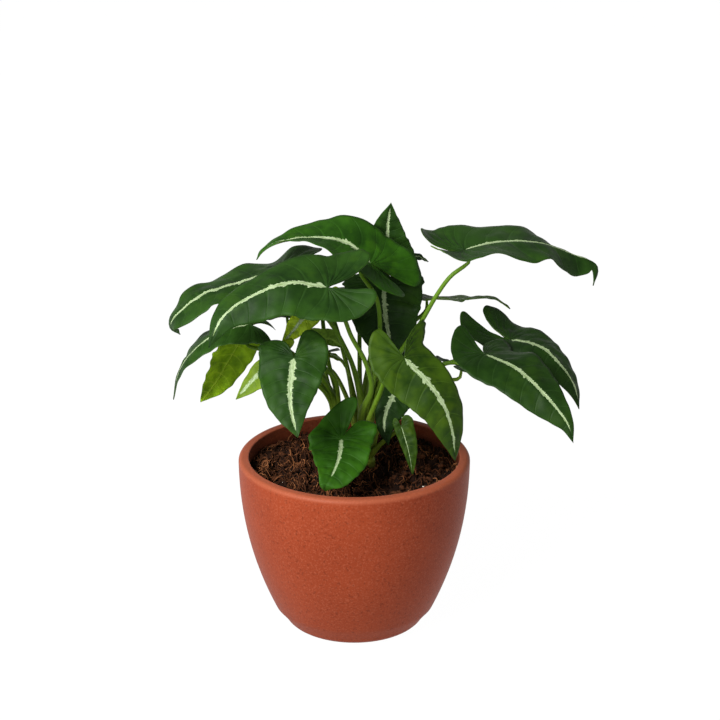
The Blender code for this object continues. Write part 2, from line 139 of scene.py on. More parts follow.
# Blade relief, mm
BLADE_THICKNESS = 0.55
MARGIN_THICKNESS = 0.3
PUCKER_HEIGHT = 0.9
PUCKERS = 11
QUILT_SHARE = 0.0050
QUILT_POWER = 0.8
GROOVE_DEPTH = 0.35
GROOVE_WIDTH = 1.3
KEEL_DEPTH = 1.15
KEEL_WIDTH = 1.0
KEEL_FADE = 0.85
RIDGE_DEPTH = 0.16
RIDGE_END = 0.95
RIPPLE_HEIGHT = 0.45
RIPPLES = 9

# The places of a blade's materials on its mesh
UPPER, LOWER, MARGIN = range(3)

# Where a blade lies in its material's map, and the stripe's half width there, in lengths of 100 mm
LEAF_SPACING = 3.0
MAP_LENGTH = 100.0
STRIPE_WIDTH = 0.017

# Petioles: radii at shares of the length, with a sheathed base, and where they meet the blade, mm
PETIOLE_SIDES = 18
PETIOLE_STEPS = 44
PETIOLE_SHARES = (0, 0.3, 0.45, 0.9, 1)
PETIOLE_RADII = (2.6, 2.6, 1.7, 1.45, 0.8)
ROOT_SHARE = 0.4
ROOT_DEPTH = 4.0
ROOT_RISE = 8.0
ATTACH = 0.025
APPROACH = 9.0
STRAIGHT_END = 2.2
SHEATH_SHARE = 0.5
SHEATH_POWER = 0.7
SHEATH_WING = 0.30
SHEATH_GROOVE = 0.28
WING_ANGLE = 0.62
WING_WIDTH = 0.24
BETWEEN_WINGS = 0.7

# Plantlets: where each short stem stands in the soil, and its radius
STEMS = {
    "stem_left": ((-11, 4), 5.5),
    "stem_right": ((9, 0), 6.0),
    "stem_front": ((-8, -42), 4.0),
    "stem_back": ((4, 26), 5.5),
}
STEM_BOTTOM = 96.0
STEM_TOP = 128.0
STEM_SIDES = 32
STEM_STEPS = 40
STEM_ROUND = 5.0
STEM_TIP = 0.02
STEM_WAIST = 0.97
SCAR_HEIGHT = 0.06
SCAR_RATE = 1.3
SCAR_POWER = 8
FLUTES = 3
FLUTE_HEIGHT = 0.03
FLUTE_TWIST = 0.2

LEAVES = {}


def leaf(name, stem, midrib, face, route=(), **shape):
    """One leaf: its midrib from the sinus to the tip, the way its upper side faces as (azimuth, elevation)
    along the midrib, and the points that its petiole passes. Pairs in shape are (left, right)."""
    LEAVES[name] = dict(stem="stem_" + stem, midrib=midrib, face=face, route=route, **shape)


leaf("leaf_01", "right", [(12, 18, 263), (-6, 20, 278), (-34, 18, 282), (-55, 14, 279), (-64, 11, 274),
     (-68, 9, 269)], [(-56, 33), (-80, 62), (-90, 75)], route=[(9, 4, 157), (17, 7, 197), (16, 14, 238)],
     fold=[(35, 0), (17, -4), (27, -8), (40, -15), (30, -25)], wide=(0.94, 1.04), lobe=(0.88, 1),
     splay=(-0.25, 0), full=(0, -0.2))
leaf("leaf_02", "right", [(-18, -35, 263), (-43, -40, 268), (-70, -47, 260), (-88, -53, 248),
     (-98, -57, 227)], [(-90, 45), (-90, 62), (-115, 25)],
     route=[(5, -9, 160), (12, -13, 181), (8, -17, 202), (-2, -21, 223), (-9, -27, 242)],
     fold=[(6, -14), (-22, -22), (-20, -20)], wide=(0.95, 0.96), lobe=(0.85, 0.7), splay=(-0.2, 0.35),
     lift=(45, 35))
leaf("leaf_03", "right", [(-57, 10, 260), (-79, 8, 253), (-104, 4, 246), (-119, 0, 236),
     (-128, 2, 224), (-122, 5, 215)], [(-90, 80), (-95, 76), (-150, 30)],
     route=[(5, 3, 164), (1, 7, 184), (-6, 6, 204), (-22, 7, 230)],
     fold=[(0, -10), (0, -12), (0, -5)], wide=(0.8, 1.05), wave=1.6, full=(1.2, 0.2))
leaf("leaf_04", "left", [(-73, -10, 228), (-89, -12, 225), (-107, -16, 215), (-120, -20, 200),
     (-126, -22, 177)], [(-120, 75), (-176, 49)],
     route=[(-14, 2, 167), (-26, -3, 186), (-50, -8, 211)],
     fold=[(-10, -12), (0, -14)], lift=(-100, -90), splay=(0.4, 0), wide=(0.8, 0.95), lobe=(0.55, 0.8))
leaf("leaf_05", "left", [(-80, 23, 208), (-89, 25, 191), (-98, 21, 176), (-110, 15, 161)], [(105, 12)],
     route=[(-16, 5, 164), (-38, 9, 188), (-62, 14, 200)], fold=[(-30, 0)], wide=(1.2, 1.0), lobe=0.3,
     full=(1, 0.8))
leaf("leaf_06", "left", [(-48, -22, 210), (-64, -26, 199), (-82, -30, 180)], [(-112, 35)],
     route=[(-17, 1, 167), (-30, -12, 188)], wide=(1.0, 0.7), lobe=(0.3, 0.6), full=0.3)
leaf("leaf_07", "left", [(-41, -42, 215), (-43, -52, 203), (-43, -64, 189), (-38, -78, 171)],
     [(-90, 40)], route=[(-16, 1, 170), (-27, -19, 198), (-36, -32, 218)],
     wide=(1.36, 1.42), lobe=(0.95, 0.5), splay=(-0.1, 0))
leaf("leaf_08", "left", [(-26, 25, 234), (-38, 22, 219), (-52, 18, 202)], [(-110, 30)],
     route=[(-12, 7, 167), (-18, 14, 190), (-22, 26, 215)])
leaf("leaf_09", "left", [(-28, 5, 212), (-17, 12, 210), (-5, 18, 200)], [(92, 12)],
     route=[(-13, 3, 166), (-23, 3, 188)])
leaf("leaf_10", "left", [(-17, -8, 205), (-9, -5, 200), (-2, -4, 187)], [(10, 28)],
     route=[(-11, 1, 166), (-14, -5, 186)], wide=0.7, lobe=0.4)
leaf("leaf_11", "front", [(-9, -36, 153), (-10, -51, 147), (-14, -66, 141), (-19, -75, 135),
     (-20, -72, 129)], [(-90, 60), (-90, 55), (-90, 35), (-90, 10)], route=[(-8, -41, 135)],
     wide=(1.43, 1.5), lobe=(0.95, 1.55), splay=(0.15, -0.6), lift=(5, 45), full=(0.5, 0))
leaf("leaf_12", "right", [(34, -48, 217), (50, -56, 202), (61, -62, 187), (67, -64, 167),
     (69, -60, 146)], [(-74, 27), (-78, 5)], route=[(10, -14, 157), (17, -24, 180), (23, -39, 200)],
     fold=[(-25, 0)], wide=(0.87, 0.98), lobe=(0.35, 0.8), splay=(0.7, -0.3), lift=(10, 10))
leaf("leaf_13", "right", [(91, -10, 206), (111, -30, 203), (130, -48, 190), (145, -59, 173),
     (149, -62, 160)], [(-80, 75), (-90, 45), (-110, 10)],
     route=[(15, 4, 163), (34, 6, 178), (67, 0, 196)],
     fold=[(-15, 0), (-22, 0), (-28, 0)], wide=(1.0, 0.93), lobe=(0.5, 0.8), splay=(0.3, -0.5),
     lift=(-25, 50), full=(-0.5, 0))
leaf("leaf_14", "right", [(112, 35, 201), (132, 20, 201), (147, 9, 190), (156, 2, 177),
     (159, -3, 162)], [(-80, 75), (-85, 60), (-60, 20)],
     route=[(13, 6, 163), (32, 10, 176), (65, 20, 188), (91, 32, 189)],
     fold=[(-5, 8), (-34, 0), (-40, -5)], wide=(1.04, 1.0), lobe=(1.05, 1.3), lift=(55, 50), full=(-0.3, 0))
leaf("leaf_15", "right", [(76, 5, 277), (98, 10, 281), (128, 16, 279), (152, 20, 270), (171, 22, 260),
     (168, 17, 247)], [(80, 85), (90, 85), (60, 70), (0, 10)],
     route=[(13, 8, 165), (31, 9, 198), (47, 7, 224), (57, 6, 243), (67, 5, 258)],
     fold=[(16, 5), (12, -10), (10, -20), (-10, -70), (-30, -40)], wide=(0.98, 1.05), lobe=(0.74, 0.62),
     splay=(-0.1, -0.12), lift=(85, 75))
leaf("leaf_16", "back", [(51, 54, 227), (76, 59, 224), (101, 57, 225), (113, 54, 218)], [(90, 77)],
     route=[(14, 32, 165), (34, 46, 202)], lobe=0.4)
leaf("leaf_17", "back", [(27, 52, 250), (24, 48, 268), (24, 44, 284), (26, 40, 301)], [(-90, 5)],
     route=[(8, 30, 165), (18, 54, 215)], wide=1.2, lobe=0.6)
leaf("leaf_18", "back", [(36, 62, 250), (45, 65, 254), (54, 66, 250)], [(-90, 70)],
     route=[(10, 34, 165), (27, 54, 220)])
leaf("leaf_19", "right", [(21, 36, 240), (22, 26, 224), (25, 18, 206), (28, 13, 182)], [(-90, 30)],
     route=[(11, 7, 165), (14, 18, 195), (14, 36, 224)], wide=1.5, lobe=0.45)
leaf("leaf_20", "right", [(31, -2, 178), (24, -8, 167), (21, -12, 154), (24, -14, 139)], [(-90, 20)],
     route=[(20, 3, 155)], wide=(1.2, 0.8), lobe=0.5)
leaf("leaf_21", "right", [(33, -18, 155), (38, -24, 139), (41, -28, 122)], [(-90, 20)],
     route=[(22, -6, 140)], wide=(0.85, 0.5), lobe=0.5)
leaf("leaf_22", "back", [(-24, 58, 238), (-40, 80, 232), (-62, 106, 208)], [(135, 60), (130, 30)],
     route=[(-2, 34, 165), (-14, 46, 210)], lobe=0.8)
leaf("leaf_23", "back", [(5, 76, 226), (8, 100, 216), (14, 124, 186)], [(90, 60), (85, 30)],
     route=[(4, 34, 165), (4, 54, 205)], lobe=0.6)
leaf("leaf_24", "left", [(-48, 58, 214), (-70, 74, 208), (-93, 88, 190)], [(145, 65), (140, 35)],
     route=[(-16, 12, 163), (-30, 36, 200)], lobe=0.8)
leaf("leaf_25", "back", [(78, 60, 172), (103, 78, 162), (126, 94, 142)], [(35, 65), (38, 30)],
     route=[(12, 30, 155), (44, 44, 168)], lobe=0.5)
leaf("leaf_26", "back", [(28, 76, 198), (34, 92, 188), (42, 108, 164)], [(70, 60), (70, 25)],
     route=[(8, 36, 160), (18, 54, 184)], lobe=0.6)
leaf("leaf_27", "back", [(-28, 62, 180), (-40, 78, 172), (-56, 96, 148)], [(125, 60), (125, 25)],
     route=[(-3, 34, 150), (-16, 48, 172)], lobe=0.6)

# Colours of the upper sides, the darkest and the lightest of the mottling, and the leaves' numbers for each
TINTS = {
    "deep": ((0.0040, 0.0165, 0.0014), (0.0145, 0.0455, 0.0040)),
    # painted shade: the "dark" tint darkens leaves 13, 14, 19 and 20 for the shade they stand in
    "dark": ((0.0035, 0.0145, 0.0012), (0.0110, 0.0340, 0.0030)),
    "vivid": ((0.0055, 0.0260, 0.0009), (0.0190, 0.0720, 0.0026)),
    "fresh": ((0.0045, 0.0180, 0.0010), (0.0290, 0.0620, 0.0020)),
    "lime": ((0.0400, 0.0800, 0.0030), (0.1000, 0.1600, 0.0060)),
    # painted light: the "young" tint is the leaves' own yellow-green made far lighter for the light shining
    # through leaves 8 and 9
    "young": ((0.1200, 0.2000, 0.0060), (0.2600, 0.3700, 0.0100)),
}
TINT_OF = {
    1: "vivid", 5: "fresh", 6: "lime", 8: "young", 9: "young", 10: "lime", 11: "vivid", 12: "fresh",
    13: "dark", 14: "dark", 16: "fresh", 19: "dark", 20: "dark", 21: "fresh", 24: "fresh", 27: "fresh",
}

# Colours of the undersides: the darkest and the lightest of the mottling and the veins, and the one blade
# whose underside is lit through
UNDERSIDES = {
    "matt": ((0.050, 0.105, 0.010), (0.110, 0.200, 0.018), (0.160, 0.260, 0.040)),
    "lit": ((0.105, 0.210, 0.005), (0.265, 0.460, 0.010), (0.300, 0.440, 0.030)),
}
UNDERSIDE_OF = {5: "lit"}

# The pale stripe's width and length, where they aren't the usual ones, in shares of those
STRIPE_OF = {
    1: 1.15, 2: 0.95, 3: 1.15, 4: 0.8, 6: 1.3, 7: 1.25, 11: 0.85, 12: 1.05, 13: 0.95, 15: 0.9, 16: 0.6,
    18: 0.6, 21: 0.15,
}
STRIPE_REACH = {11: 0.80, 15: 0.90, 20: 0.85}

# Other colours
STRIPE_COLOURS = ((0.14, 0.20, 0.075), (0.29, 0.36, 0.21))
BLOTCH_TINT = (1.3, 1.15, 0.7)
VEIN_PALER = 1.4
VEIN_GREY = 0.005
# painted light: the margin's yellow stands for light shining through the thin edge
MARGIN_YELLOW = (0.050, 0.090, 0.008)
PETIOLE_LOW = (0.170, 0.225, 0.022)
PETIOLE_HIGH = (0.075, 0.150, 0.008)
PETIOLE_DARK = (0.036, 0.080, 0.005)
STEM_OLD = (0.080, 0.060, 0.018)
CLAY_OUTSIDE = ((0.178, 0.027, 0.008), (0.208, 0.033, 0.010), (0.28, 0.068, 0.032))
# the rim's paler band: some wear, and a painted highlight on its top and bevel
CLAY_WEAR_AND_HIGHLIGHT = (0.30, 0.095, 0.050)
# the inner wall's clay, darker than the outside with painted shade of the pot's hollow
CLAY_INSIDE = ((0.120, 0.024, 0.009), (0.150, 0.031, 0.012), (0.20, 0.058, 0.028))
CLAY_DAMP = (0.055, 0.015, 0.007)
SPECK_DARKER = 0.5

# Roughness and specular level of each surface, and strength and distance in metres of its bumps
SURFACES = {
    "leaf_lower": (0.60, 0.08), "leaf_margin": (0.55, 0.15), "petiole": (0.45, 0.1),
    "clay_outside": (0.50, 0.08), "clay_inside": (0.7, 0.1), "coir": (0.85, 0.1), "floor": (0.9, 0.0),
}
BUMPS = {
    "blade": (0.18, 0.00015), "veins": (0.45, 0.0004), "leaf_lower": (0.30, 0.0008),
    "petiole": (0.3, 0.0002), "clay": (0.40, 0.00030), "coir": (0.7, 0.0005),
}
BLADE_ROUGHNESS = 0.46
GRAIN_ROUGHNESS = 0.16
BLADE_SPECULAR = 0.09
BLADE_SHEEN = (0.02, 0.40, (0.68, 0.90, 0.55))

# Noises: scale per metre, detail and roughness, and for two noises the share of the first one
MOTTLE = ((30, 3, 0.6), (140, 2, 0.6), 0.65)
BLOTCH_NOISE = (44, 3, 0.7)
VEIN_NOISE = (60, 2, 0.5)
BLADE_GRAIN = (900, 2, 0.6)
LOWER_MOTTLE = (60, 3, 0.6)
MARGIN_NOISE = (120, 2, 0.5)
CLAY_CLOUDS = (14, 3, 0.55)
CLAY_GRAIN = (760, 3, 0.7)
CLAY_SPECKS = (520, 2, 0.5)
DAMP_NOISE = (90, 3, 0.6)
COIR_NOISES = ((1, 4, 0.65), (6, 2, 0.6), (9, 3, 0.7))
COIR_SHARE = 0.6

# Stretched noises: how fast they change along each part, detail and roughness
TEETH_NOISE = ((80.0, 7.3), 2, 0.65)
SPUR_NOISE = ((15.0, 3.1, 5.0), 1, 0.5)
STREAK_NOISE = ((14.0, 300.0), 2, 0.5)
PETIOLE_NOISE = ((1500.0, 1500.0, 60.0), 3, 0.6)

# Where something starts and is complete, in a noise or on the blade, and then how much of it shows
SOFT = (0.3, 0.7)
PATCHES = (0.36, 0.64)
PATCH_SHARE = 0.60
RAISED = (0.05, 0.45, 0.14)
OUTER = (0.40, 1.0, 0.34)
BLOTCHES = (0.54, 0.68, 0.45)
VEIN_SPREAD = 0.25
VEIN_LINE = (0.008, 0.045)
VEIN_END = (0.70, 0.95)
VEIN_BREAKS = (0.30, 0.60, 0.30)
VEIN_DIP = (0.0, 0.06)
LOWER_LINE = (0.010, 0.045)
LOWER_SHARE = 0.40
RIB_LINE = (0.004, 0.012)
RIB_SHARE = 0.60
STRIPE_SLANT = 0.75
TEETH = (0.30, 0.70, 0.55)
SPURS = (0.54, 0.70, 0.9)
SPUR_END = (0.45, 0.70)
CORE_SHARE = 0.62
STRIPE_TAPER = (0.25, 0.80, 0.45)
STRIPE_START = (0.0, 0.05)
STRIPE_END = (0.80, 0.94)
STRIPE_GONE = (0.02, 0.10)
STRIPE_EDGE = (-0.0008, 0.0014)
STREAKS = (0.36, 0.60)
PETIOLE_STREAKS = (0.35, 0.75, 0.55)
LIGHT_SPECKS = (0.48, 0.66, 0.50)
DARK_SPECKS = (0.57, 0.70, 0.50)

# Heights between which a colour changes and how far they waver, in metres
GREEN_HEIGHTS = (0.128, 0.215)
GREEN_WAVER = 0.03
OLD_HEIGHTS = (0.119, 0.127)
OLD_WAVER = 0.006
DAMP_HEIGHTS = (0.1175, 0.1235)
DAMP_WAVER = 0.006
DAMP_SHARE = 0.75
# the rim's top and bevel, which take the paler band of wear and painted highlight
WEAR_AND_HIGHLIGHT_HEIGHTS = ((POT_HEIGHT - RIM_BEVEL - 1) * MM, (POT_HEIGHT - 1) * MM)
WEAR_AND_HIGHLIGHT_SHARE = 0.40

# The colour mixing node's sockets
MIX_INPUTS = (0, 6, 7)
MIX_OUTPUT = 2


# Curves and vectors

def smooth(points, count):
    """count points spaced evenly along a smooth curve through the given points, and its length"""
    p = np.array(points, float)
    p = np.vstack([2 * p[0] - p[1], p, 2 * p[-1] - p[-2]])
    knots = np.concatenate([[0], np.cumsum(np.linalg.norm(np.diff(p, axis=0), axis=1) ** 0.5)])
    curve = []
    for u in np.linspace(knots[1], knots[-2], CURVE_SAMPLES):
        i = min(max(int(np.searchsorted(knots, u, side="right")) - 1, 1), len(p) - 3)
        t, row = knots[i - 1:i + 3], p[i - 1:i + 3]
        for spans in (((0, 1), (1, 2), (2, 3)), ((0, 2), (1, 3)), ((1, 2),)):
            row = [(t[b] - u) / (t[b] - t[a]) * one + (u - t[a]) / (t[b] - t[a]) * two
                   for (a, b), one, two in zip(spans, row, row[1:])]
        curve.append(row[0])
    curve = np.array(curve)
    run = np.concatenate([[0], np.cumsum(np.linalg.norm(np.diff(curve, axis=0), axis=1))])
    at = np.linspace(0, run[-1], count)
    return np.stack([np.interp(at, run, axis) for axis in curve.T], -1), run[-1]


def unit(v):
    return v / np.linalg.norm(v, axis=-1, keepdims=True)


def facing(azimuth, elevation):
    """the direction at an azimuth and an elevation in degrees"""
    a, e = math.radians(azimuth), math.radians(elevation)
    return math.cos(a) * math.cos(e), math.sin(a) * math.cos(e), math.sin(e)


def of_side(value, side):
    """the left or right one of a pair, or the value itself"""
    return value[0 if side > 0 else 1] if isinstance(value, (tuple, list)) else value


def along(values, x):
    """a list of values spread evenly over 0 to 1, read at x"""
    v = np.array(values, float).reshape(len(values), -1)
    steps = np.linspace(0, 1, len(v)) if len(v) > 1 else np.zeros(1)
    return np.stack([np.interp(x, steps, column) for column in v.T], -1)


def midrib(shape):
    """the leaf's midrib as even points, and its length, worked out once"""
    if "curve" not in shape:
        shape["curve"] = smooth(shape["midrib"], MIDRIB_SAMPLES)
    return shape["curve"]


# Blades

def half_grid(shape, ribs, columns, side):
    """flat x and y of one half in lengths, whose ribs bow like side veins, and the columns' shares across"""
    edge, _ = smooth(HALF_OUTLINE, ribs + 1)
    x, y = edge.T
    root = np.clip(x - VEIN_SLOPE * y, 0, 1)
    root[-1] = 1
    back = np.clip(-x, 0, None)
    y = (y + back * of_side(shape.get("splay", 0), side)) * of_side(shape.get("wide", 1), side)
    y = y * (1 + of_side(shape.get("full", 0), side) * np.clip(x, 0, 1) ** 2)
    x = np.where(x < 0, x * of_side(shape.get("lobe", 1), side), x)
    along_edge = np.linspace(0, 1, ribs + 1)
    start = shape["midrib"][0][0] + side
    ruffle = sum(np.sin(2 * math.pi * k * along_edge + k * start) for k in RUFFLES)
    y = y * (1 + RUFFLE * ruffle / len(RUFFLES))
    t = np.linspace(0, 1, columns + 1) ** COLUMN_POWER
    bow = VEIN_BOW * y[:, None] * np.sin(math.pi * t)
    return root[:, None] * (1 - t) + x[:, None] * t - bow, y[:, None] * t, t


def on_blade(shape, x, y, side):
    """flat x and y in lengths to bent points in mm, and the way that the blade faces at each"""
    x, y = np.broadcast_arrays(np.asarray(x, float), np.asarray(y, float))
    points, length = midrib(shape)
    s = np.linspace(0, 1, MIDRIB_SAMPLES)
    tangents = unit(np.gradient(points, axis=0))
    xc = np.clip(x, 0, 1)
    place = np.stack([np.interp(xc, s, axis) for axis in points.T], -1)
    ahead = unit(np.stack([np.interp(xc, s, axis) for axis in tangents.T], -1))
    face = along([facing(*a) for a in shape["face"]], xc)
    face = unit(face - (face * ahead).sum(-1, keepdims=True) * ahead)
    left = np.cross(face, ahead)
    back = np.clip(-x, 0, None) * length
    bend = math.radians(of_side(shape.get("lift", 0), side)) * back / (LOBE_LENGTH * length)
    bend = np.where(np.abs(bend) < LEAST_BEND, LEAST_BEND, bend)
    place = place - ahead * (back * np.sin(bend) / bend)[..., None]
    place = place + face * (back * (1 - np.cos(bend)) / bend)[..., None]
    face = face * np.cos(bend)[..., None] + ahead * np.sin(bend)[..., None]
    fold = np.radians(along([of_side(f, side) for f in shape.get("fold", [0])], xc)[..., 0])
    turn = 2 * math.pi * WAVES * x + side * WAVE_SHIFT + shape["midrib"][0][0]
    waved = WAVE * shape.get("wave", 1) * length * np.sin(turn)
    up = y * length * np.sin(fold) + waved * (y / HALF_WIDTH) ** 2
    place = place + left * (side * y * length * np.cos(fold))[..., None] + face * up[..., None]
    face = face * np.cos(fold)[..., None] - left * (side * np.sin(fold))[..., None]
    return place, face


def relief(shape, x, y, veins, t, side):
    """how far the blade's middle rises, and its half thickness above and below, in mm"""
    _, length = midrib(shape)
    quilt = QUILT_SHARE * length * (0.5 - 0.5 * np.cos(2 * math.pi * veins))
    quilt = quilt * np.sin(math.pi * t ** QUILT_POWER)
    groove = GROOVE_DEPTH * np.exp(-(y * length / GROOVE_WIDTH) ** 2)
    ripple = RIPPLE_HEIGHT * t ** 4 * np.sin(RIPPLES * veins / VEINS * 2 * math.pi + side + length)
    half = (BLADE_THICKNESS * (1 - t ** 3) + MARGIN_THICKNESS * t ** 3) / 2
    keel = KEEL_DEPTH * (1 - KEEL_FADE * np.clip(x, 0, 1)) * np.exp(-(y * length / KEEL_WIDTH) ** 2)
    on_vein = np.abs(veins - np.round(veins)) < 0.5 / RIBS_PER_VEIN
    ridge = RIDGE_DEPTH * on_vein * np.sin(math.pi * np.clip(t, 0, RIDGE_END))
    rows = zip(PUCKERS * x, PUCKERS * side * y)
    pucker = [[noise.noise((a, b, length)) for a, b in zip(*row)] for row in rows]
    pucker = PUCKER_HEIGHT * np.array(pucker) * np.sin(math.pi * t) ** 0.5
    rise = quilt - groove + ripple * np.sin(math.pi * np.clip(x, 0, 1)) + pucker
    return rise, half, half + keel + ridge


def blade_grid(shape, count, columns):
    """a blade's points in mm, the relief at each, and for every (side, rib, column) what its maps say
    there and which point it is, because the halves share the midrib and the tip"""
    ribs = count * RIBS_PER_VEIN
    points, reliefs, flat, at = [], [], {}, {}
    for side in (1, -1):
        x, y, t = half_grid(shape, ribs, columns, side)
        veins = np.linspace(0, count, ribs + 1)[:, None] + 0 * t
        t = t[None, :] + 0 * x
        place, _ = on_blade(shape, x, y, side)
        lifts = np.stack(relief(shape, x, y, veins, t, side), -1)
        for i in range(ribs + 1):
            for j in range(columns + 1):
                flat[side, i, j] = (x[i, j], side * y[i, j], veins[i, j], t[i, j])
                if i == ribs and (j > 0 or side < 0):
                    at[side, i, j] = at[1, ribs, 0]
                elif j == 0 and side < 0:
                    at[side, i, j] = at[1, i, 0]
                elif j == 0 and i > 0 and x[i, 0] == x[i - 1, 0]:
                    at[side, i, j] = at[side, i - 1, 0]
                else:
                    at[side, i, j] = len(points)
                    points.append(place[i, j])
                    reliefs.append(lifts[i, j])
    return np.array(points), np.array(reliefs), flat, at


def blade_quads(at, ribs, columns):
    """the corners of both halves' faces, as (side, rib, column), each point once"""
    quads = []
    for side in (1, -1):
        for i in range(ribs):
            for j in range(columns):
                kept = []
                for corner in ((side, i, j), (side, i, j + 1), (side, i + 1, j + 1), (side, i + 1, j)):
                    if at[corner] not in [at[k] for k in kept]:
                        kept.append(corner)
                if len(kept) > 2:
                    quads.append(kept if side < 0 else kept[::-1])
    return quads


def blade_rim(ribs, columns):
    """the corners round the blade, along one margin to the tip and back along the other"""
    rim = [(1, 0, j) for j in range(columns + 1)]
    rim += [(1, i, columns) for i in range(1, ribs + 1)]
    rim += [(-1, i, columns) for i in range(ribs - 1, -1, -1)]
    rim += [(-1, 0, j) for j in range(columns - 1, 0, -1)]
    return rim


def blade(name, number):
    """one fine blade, closed, with quilted sides between its veins and a keel under its midrib"""
    shape = LEAVES[name]
    _, length = midrib(shape)
    count, columns = (SMALL_VEINS, SMALL_COLUMNS) if length < SMALL_LENGTH else (VEINS, COLUMNS)
    ribs = count * RIBS_PER_VEIN
    points, reliefs, flat, at = blade_grid(shape, count, columns)
    quads = blade_quads(at, ribs, columns)
    skin = [[at[k] for k in quad] for quad in quads]
    normals = sheet_normals(points, skin)
    rises, above, below = reliefs.T[:, :, None]
    middle = points + normals * rises
    vertices = np.vstack([middle + normals * above, middle - normals * below])
    total = len(points)
    faces = skin + [[corner + total for corner in face[::-1]] for face in skin]
    keys = quads + [quad[::-1] for quad in quads]
    kinds = [UPPER] * len(quads) + [LOWER] * len(quads)
    rim = blade_rim(ribs, columns)
    for a, b in zip(rim, rim[1:] + rim[:1]):
        faces.append([at[a], at[a] + total, at[b] + total, at[b]])
        keys.append([a, a, b, b])
        kinds.append(MARGIN)
    tint = TINT_OF.get(number, "deep")
    materials = [leaf_upper(tint), leaf_lower(UNDERSIDE_OF.get(number, "matt")), leaf_margin(tint)]
    made = mesh_object(name.replace("leaf", "blade"), vertices, faces, materials, kinds)
    corners = [flat[k] for key in keys for k in key]
    breadth = length / MAP_LENGTH / STRIPE_OF.get(number, 1)
    reach = STRIPE_REACH.get(number, 1)
    spread = [(x / reach + LEAF_SPACING * (number - 1), y * breadth) for x, y, _, _ in corners]
    add_map(made, "flat", spread)
    add_map(made, "veins", [(vein, t) for _, _, vein, t in corners])
    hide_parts(name)


def sheet_normals(points, faces):
    """the way that an open sheet faces at each of its points"""
    normals = np.zeros_like(points)
    for face in faces:
        first, *others = points[face]
        across = sum(np.cross(a - first, b - first) for a, b in zip(others, others[1:]))
        for corner in face:
            normals[corner] += across
    return unit(normals)


# Stems and petioles

def tube_rings(points, radius_at, sides, outward):
    """rings of a tube along the points, whose angle 0 lies towards outward; radius_at(step, angle) in mm"""
    tangents = unit(np.gradient(points, axis=0))
    across = np.array(outward, float)
    rings = []
    for step, (point, tangent) in enumerate(zip(points, tangents)):
        across = unit(across - (across @ tangent) * tangent)
        other = np.cross(tangent, across)
        angles = 2 * math.pi * np.arange(sides) / sides
        spokes = np.cos(angles)[:, None] * across + np.sin(angles)[:, None] * other
        radii = np.array([radius_at(step, angle) for angle in angles])
        rings.append(point + radii[:, None] * spokes)
    return rings


def joined_rings(rings):
    """vertices and faces of a closed skin over rings of alike count"""
    sides = len(rings[0])
    faces = []
    for i in range(len(rings) - 1):
        for k in range(sides):
            n = (k + 1) % sides
            faces.append([i * sides + k, i * sides + n, (i + 1) * sides + n, (i + 1) * sides + k])
    faces.append(list(range(sides))[::-1])
    faces.append([(len(rings) - 1) * sides + k for k in range(sides)])
    return np.vstack(rings), faces


def petiole_curve(shape):
    """points in mm from inside the stem to the underside of the blade at the sinus"""
    (x, y), radius = STEMS[shape["stem"]]
    hold, face = on_blade(shape, ATTACH, 0.0, 1)
    folds = [of_side(shape.get("fold", [0])[0], side) for side in (1, -1)]
    droop = max(math.sin(math.radians(-f)) for f in (*folds, 0))
    end = hold - face * (BLADE_THICKNESS / 2 + GROOVE_DEPTH + PETIOLE_RADII[-1] * droop)
    lean = np.array([shape["route"][0][0] - x, shape["route"][0][1] - y])
    side = (x, y) + ROOT_SHARE * radius * lean / max(np.linalg.norm(lean), 1)
    start = (*side, SOIL_CENTRE - ROOT_DEPTH)
    leave = (*side, SOIL_CENTRE + ROOT_RISE)
    before = end - face * APPROACH
    straight = end - face * STRAIGHT_END
    points, _ = smooth([start, leave, *shape["route"], before, straight], PETIOLE_STEPS)
    return np.vstack([points, end])


def petiole(shape):
    """a petiole whose base is a sheath, with two thin wings beside a groove that faces inward"""
    points = petiole_curve(shape)
    shares = np.linspace(0, 1, len(points))
    radii = np.interp(shares, PETIOLE_SHARES, PETIOLE_RADII)
    third = points[PETIOLE_STEPS // 3]
    inward = -np.array([*(third[:2] - points[0][:2]), 0.0])
    if np.linalg.norm(inward) < 1:
        inward = np.array([0.0, 1.0, 0.0])

    def radius_at(step, angle):
        fade = max(0.0, 1 - shares[step] / SHEATH_SHARE) ** SHEATH_POWER
        angle = (angle + math.pi) % (2 * math.pi) - math.pi
        wings = sum(math.exp(-((angle - place) / WING_WIDTH) ** 2) for place in (WING_ANGLE, -WING_ANGLE))
        groove = math.exp(-(angle / (BETWEEN_WINGS * WING_ANGLE)) ** 2)
        return radii[step] * (1 + fade * (SHEATH_WING * wings - SHEATH_GROOVE * groove))

    return joined_rings(tube_rings(points, radius_at, PETIOLE_SIDES, inward))


def stem_core(place, radius, seed):
    """the short stem, ringed by old leaf scars, with a rounded top"""
    heights = np.linspace(STEM_BOTTOM, STEM_TOP, STEM_STEPS)
    points = np.array([(*place, z) for z in heights])

    def radius_at(step, angle):
        z = heights[step]
        top = min(1.0, (STEM_TOP - z) / STEM_ROUND + STEM_TIP) ** 0.5
        scar = SCAR_HEIGHT * math.sin(z * SCAR_RATE + seed) ** SCAR_POWER
        flute = FLUTE_HEIGHT * math.sin(FLUTES * angle + z * FLUTE_TWIST + seed)
        return radius * top * (STEM_WAIST + scar + flute)

    return joined_rings(tube_rings(points, radius_at, STEM_SIDES, (1, 0, 0)))


def stem(name):
    """a plantlet's short stem and its petioles, as one piece"""
    place, radius = STEMS[name]
    parts = [stem_core(place, radius, len(name))]
    for shape in LEAVES.values():
        if shape["stem"] == name:
            parts.append(petiole(shape))
    vertices, faces = gather(parts)
    made = mesh_object(name.replace("stem", "petioles"), vertices, faces, [petiole_green()])
    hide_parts(name)


